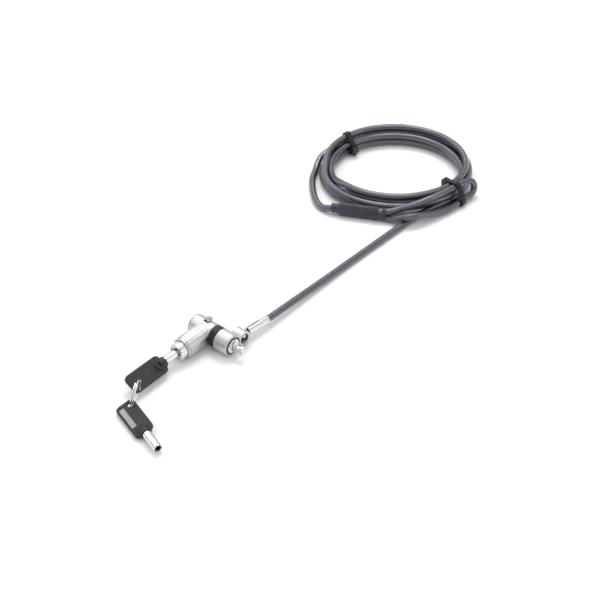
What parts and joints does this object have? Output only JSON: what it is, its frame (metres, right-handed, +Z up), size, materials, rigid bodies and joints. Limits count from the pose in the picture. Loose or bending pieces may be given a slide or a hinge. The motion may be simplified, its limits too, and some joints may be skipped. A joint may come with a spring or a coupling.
{
  "type": "laptop cable lock",
  "caption": "Laptop cable lock: T-shaped metal head with a turning T-bar tip, swivel collar, coiled steel cable with an anchor loop, and two tubular keys on a split ring.",
  "frame": {"origin": "under the middle of the lock and its keys, on the surface that they lie on", "axes": "+X along the cross barrel towards the T-bar, +Y along the key barrel's axis towards the cable, +Z up"},
  "size_m": [0.1346, 0.4094, 0.0198],
  "materials": {
    "cast_metal": "satin silver die-cast zinc with a fine grain and bright bevelled edges",
    "bright_metal": "bright nickel plating",
    "steel": "machined steel",
    "black_rubber": "matt black",
    "key_plastic": "matt black moulded plastic with a fine texture",
    "key_label": "grey, unmarked",
    "cable_jacket": "smoky clear vinyl over twisted dark steel rope",
    "sleeve_plastic": "dark slate moulded plastic, satin",
    "tie_nylon": "black nylon, satin",
    "dark_steel": "blackened steel"
  },
  "bodies": {
    "cable": {"cable_ball": "dark_steel", "ferrule": "bright_metal", "cable_lead": "cable_jacket", "cable_coil": "cable_jacket", "cable_tail": "cable_jacket", "cable_loop": "cable_jacket", "loop_sleeve": "sleeve_plastic", "cable_tie_left": "tie_nylon", "cable_tie_right": "tie_nylon"},
    "collar": {"swivel_collar": "cast_metal"},
    "head": {"lock_body": "cast_metal", "end_cap": "cast_metal", "neck_ring": "black_rubber", "retaining_ring": "steel", "retaining_screw": "steel", "cylinder_spring": "steel"},
    "tip": {"tip_spindle": "steel", "t_bar": "bright_metal", "t_bar_rivet": "steel", "thumb_tab": "cast_metal", "tab_screw": "steel"},
    "cylinder": {"lock_cylinder": "bright_metal", "locking_bolt": "steel"},
    "latch": {"latch_pin": "steel"},
    "plug": {"key_plug": "steel", "key_pin_1": "steel", "key_pin_2": "steel", "key_pin_3": "steel", "key_pin_4": "steel", "key_pin_5": "steel", "key_pin_6": "steel", "key_pin_7": "steel"},
    "key_a": {"key_head_a": "key_plastic", "key_shaft_a": "bright_metal", "key_label_a": "key_label"},
    "ring": {"key_ring": "bright_metal"},
    "key_b": {"key_head_b": "key_plastic", "key_shaft_b": "bright_metal", "key_label_b": "key_label"}
  },
  "joints": [
    {"name": "cable_pivot", "type": "hinge", "parent": "cable", "child": "collar", "pos_m": [-0.00072, 0.05737, 0.0069], "axis": [1, 0, 0], "range_deg": [-20, 20]},
    {"name": "collar_swivel", "type": "hinge", "parent": "collar", "child": "head", "pos_m": [-0.00242, 0.04527, 0.0083], "axis": [1, 0, 0], "continuous": true},
    {"name": "tip_turn", "type": "hinge", "parent": "head", "child": "tip", "pos_m": [-0.02142, 0.04527, 0.0083], "axis": [-1, 0, 0], "range_deg": [0, 90]},
    {"name": "cylinder_push", "type": "slide", "parent": "head", "child": "cylinder", "axis": [0, 1, 0], "range_m": [0, 0.0036], "stiffness_N_per_m": 400, "springref_m": -0.003, "deforming": ["cylinder_spring"]},
    {"name": "latch_slide", "type": "slide", "parent": "cylinder", "child": "latch", "axis": [0, 0, 1], "range_m": [0, 0.001]},
    {"name": "key_turn", "type": "hinge", "parent": "cylinder", "child": "plug", "pos_m": [-0.02142, 0.02127, 0.0083], "axis": [0, 1, 0], "range_deg": [0, 90]},
    {"name": "key_slide", "type": "slide", "parent": "plug", "child": "key_a", "axis": [0, -1, 0], "range_m": [0, 0.02]},
    {"name": "ring_swing", "type": "hinge", "parent": "key_a", "child": "ring", "pos_m": [-0.01815, -0.02833, 0.00656], "axis": [-0.034, 0.3839, 0.9228], "range_deg": [-12, 12]},
    {"name": "key_b_swing", "type": "hinge", "parent": "ring", "child": "key_b", "pos_m": [-0.0097, -0.04256, 0.00577], "axis": [-0.3649, 0.2869, -0.8857], "range_deg": [-10, 10]}
  ],
  "couplings": [
    {"joint": "latch_slide", "follows": "cylinder_push", "ratio": 0.2777}
  ]
}
